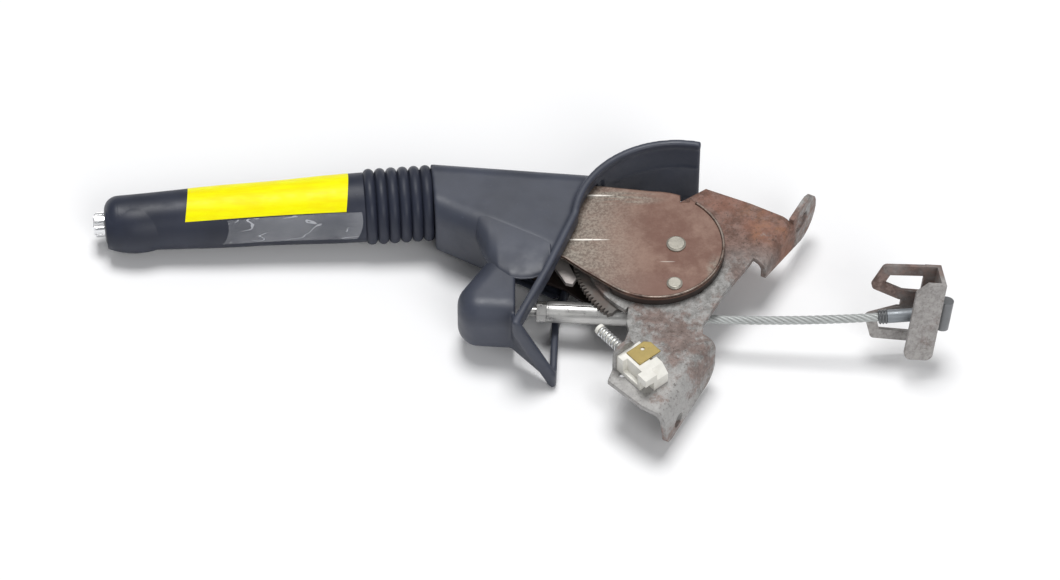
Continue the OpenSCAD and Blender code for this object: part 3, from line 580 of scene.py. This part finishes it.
def skirt(columns=54, rows=16):
    """The sleeve's near wall where it runs on over the nose: one thick sheet with a rounded lower edge."""
    moulding = surface("shroud")
    first, last = SKIRT[0][0], SKIRT[-1][0]
    verts = []
    for inner in (False, True):
        for i in range(columns + 1):
            x = first + (last - first) * i / columns
            high, low, foot = between(SKIRT, x)
            hit = moulding.ray_cast(mm(x, high, RAY_START), -UP)[0]
            top = (hit.z - PIVOT.z) / MM - SKIRT_SINK
            for k in range(rows + 1):
                n = 1 - (1 - k / rows) ** SKIRT_ROWS
                edge = max(0.0, n - 1 + SKIRT_EDGE) / SKIRT_EDGE
                under = SKIRT_THICK - SKIRT_ROUND_IN * edge ** 2 if inner else SKIRT_ROUND_OUT * edge ** 2
                z = top - (top - foot) * n ** SKIRT_BEND - under
                verts.append(mm(x, high + (low - high) * n, z))

    stride = rows + 1
    half = (columns + 1) * stride
    faces = []
    for i in range(columns):
        for k in range(rows):
            a = i * stride + k
            quad = (a, a + stride, a + stride + 1, a + 1)
            faces.append(tuple(reversed(quad)))
            faces.append(tuple(q + half for q in quad))
    loop = list(range(rows))
    loop += [i * stride + rows for i in range(columns)]
    loop += [columns * stride + k for k in range(rows, 0, -1)]
    loop += [i * stride for i in range(columns, 0, -1)]
    for a, b in zip(loop, loop[1:] + loop[:1]):
        faces.append((a, b, b + half, a + half))
    return verts, faces


add("shroud_skirt", *skirt(), LOOK["shroud"], "lever", "shroud_plastic")


# Cable

ALONG = Vector((math.cos(CABLE_SLOPE), -math.sin(CABLE_SLOPE), 0))
ACROSS = Vector((math.sin(CABLE_SLOPE), math.cos(CABLE_SLOPE), 0))
LIFT = ACROSS * math.sin(BOW_TURN) - UP * math.cos(BOW_TURN)


def rope_at(x):
    """Middle of the cable at a station along it, and two directions across it."""
    start = Vector((ANCHOR.x, ANCHOR.y, -CABLE_DEPTH)) - ACROSS * (CABLE_DROP + ANCHOR.y)
    t = max(0.0, x - CABLE_BOW) / BOW_R
    p = start + ALONG * (min(x, CABLE_BOW) - ANCHOR.x)
    p += LIFT * BOW_R * (1 - math.cos(t)) + ALONG * BOW_R * math.sin(t)
    ahead = ALONG * math.cos(t) + LIFT * math.sin(t)
    out = LIFT * math.cos(t) - ALONG * math.sin(t)
    return p, out, ahead.cross(out)


def strand(start, off, steps=130):
    """Line of one strand, from an angle round the cable and at a distance from its middle."""
    path = []
    for i in range(steps + 1):
        x = CABLE_IN + CABLE_LEN * i / steps
        p, a, b = rope_at(x)
        turn = start + 2 * math.pi * (x - CABLE_IN) / STRAND_LAY
        out = a * math.cos(turn) + b * math.sin(turn)
        path.append((mm(*(p + out * off)), out))
    return path


strands = [strand(2 * math.pi * k / STRAND_N, STRAND_OFF) for k in range(STRAND_N)]
strands.append(strand(0, CORE_OFF))
rope = add("cable_strands", *tubes(strands, STRAND_R), LOOK["cable"], "adjuster", "galvanised_rope")
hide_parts("cable")
ROUTE = [mm(*rope_at(CABLE_IN + CABLE_LEN * i / ROUTE_STEPS)[0]) for i in range(ROUTE_STEPS + 1)]


# Rim of the near cheek

def rim_path(steps=120):
    """Line just inside the round end of the near cheek, and on along its lower edge."""
    centre = Vector((-CHEEK_BACK, 0, CHEEK_TOP))
    path = []
    for i in range(steps + 1):
        a = math.radians(RIM_START + (RIM_STOP - RIM_START) * i / steps)
        out = Vector((math.cos(a), math.sin(a), 0))
        path.append((mm(*(centre + out * (CHEEK_R - RIM_INSET))), UP))
    for x, y in CHEEK_LOW:
        path.append((mm(x + RIM_LOW_INSET, y + RIM_LOW_INSET, CHEEK_TOP), UP))
    return path


add("cheek_rim", *tubes([rim_path()], RIM_R, 10), rim_steel(), "lever", "worn_steel")


# Coil springs

def coil_path(seat, axis, length, reach, turns, steps=26):
    """Middle line of a coil spring that stands on a seat along an axis, with a closed turn at each end."""
    foot = seat + axis * WIRE_R
    side = UP.cross(axis)
    path = []
    for i in range(turns * steps + 1):
        n = i / steps
        opened = max(0, min(1, (n - 1) / (turns - 2)))
        share = END_TURN * min(n, 1) + (1 - 2 * END_TURN) * opened + END_TURN * max(0, n - turns + 1)
        turn = 2 * math.pi * n
        out = side * math.cos(turn) + UP * math.sin(turn)
        path.append((mm(*(foot + axis * (length * share) + out * reach)), out))
    return path


switch_line = coil_path(SWITCH_SEAT, SWITCH_WAY, SWITCH_COIL_LEN, SWITCH_COIL_R, SWITCH_COIL_TURNS)
coil = add("switch_coil", *tubes([switch_line], WIRE_R), WIRE, "bracket", "spring_steel")
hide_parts("switch_spring")
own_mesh(coil)

release_line = coil_path(GUIDE_SEAT, -GRIP_WAY, RELEASE_COIL_LEN, RELEASE_COIL_R, RELEASE_COIL_TURNS)
coil = add("release_coil", *tubes([release_line], WIRE_R), WIRE, "lever", "spring_steel")
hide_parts("release_spring")
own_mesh(coil)


# Label and tape

grip_surface = surface("grip")


def on_grip(station, degrees, lift):
    """Point over the grip's skin, at a distance from its end, turned from straight up to its upper side."""
    a = math.radians(degrees)
    out = UP * math.cos(a) + GRIP_UP * math.sin(a)
    start = mm(*(GRIP_END + GRIP_WAY * station + out * GRIP_RAY))
    return grip_surface.ray_cast(start, -out)[0] + out * (lift * MM)


def wrap(first, last, low, high, lift, slant, rows=22, columns=60):
    """Thin sheet wrapped on the grip between two stations and two angles, its edges a little uneven."""
    verts, faces = [], []
    for i in range(columns + 1):
        t = i / columns
        for k in range(rows + 1):
            n = k / rows
            station = first + (last - first) * t + slant * math.sin(n * SLANT_TURN)
            degrees = low + (high - low) * n + SWING * math.sin(t * SWING_TURN)
            wave = WAVE_HEIGHT * (1 + math.sin(t * WAVE_ALONG + n * WAVE_ACROSS)) * (1 - abs(2 * n - 1))
            curl = CURL_HEIGHT * max(0, t - CURL_ALONG) / (1 - CURL_ALONG) * max(0, CURL_ACROSS - n)
            verts.append(on_grip(station, degrees, lift + wave + curl))
    for i in range(columns):
        for k in range(rows):
            a = i * (rows + 1) + k
            faces.append((a, a + 1, a + rows + 2, a + rows + 1))
    return verts, faces


add("plain_label", *wrap(**LABEL), label_paper(), "lever")
add("clear_tape", *wrap(**TAPE), clear_film(), "lever")


# Table

h = TABLE_SIZE / 2
mesh = bpy.data.meshes.new("table")
mesh.from_pydata([(-h, -h, 0), (h, -h, 0), (h, h, 0), (-h, h, 0)], [], [(0, 1, 2, 3)])
mesh.materials.append(table_top())
table = bpy.data.objects.new("table", mesh)
rest = min(v.co.z + LEAN * v.co.x for obj in NODES.values() for v in obj.data.vertices)
table.location = (0, TABLE_Y, rest - TABLE_GAP)
table.rotation_euler = (0, math.atan(LEAN), 0)
scene.collection.objects.link(table)


# Light

world = bpy.data.worlds.new("room")
scene.world = world
world.use_nodes = True
back = world.node_tree.nodes["Background"]
back.inputs["Color"].default_value = ROOM_COLOUR
back.inputs["Strength"].default_value = ROOM_STRENGTH


def lamp(name, at, spread, strength):
    """Soft lamp far off on the side of a point, so that the table is lit evenly to its edge."""
    data = bpy.data.lights.new(name, "SUN")
    data.energy = strength
    data.angle = math.radians(spread)
    obj = bpy.data.objects.new(name, data)
    obj.location = at
    obj.rotation_euler = (-Vector(at)).to_track_quat("-Z", "Y").to_euler()
    scene.collection.objects.link(obj)


for row in LAMPS:
    lamp(*row)


# Camera

camera = bpy.data.objects.new("camera", bpy.data.cameras.new("camera"))
camera.data.sensor_width = SENSOR
camera.data.lens = SENSOR * FOCAL_PX / WIDTH_PX
camera.data.clip_start = NEAR
camera.data.clip_end = FAR
direction = Vector((0, -math.cos(ELEVATION), math.sin(ELEVATION)))
camera.location = mm(*LOOK_AT) + direction * DISTANCE
camera.rotation_euler = (-direction).to_track_quat("-Z", "Y").to_euler()
scene.collection.objects.link(camera)
scene.camera = camera
scene.view_settings.view_transform = "Standard"
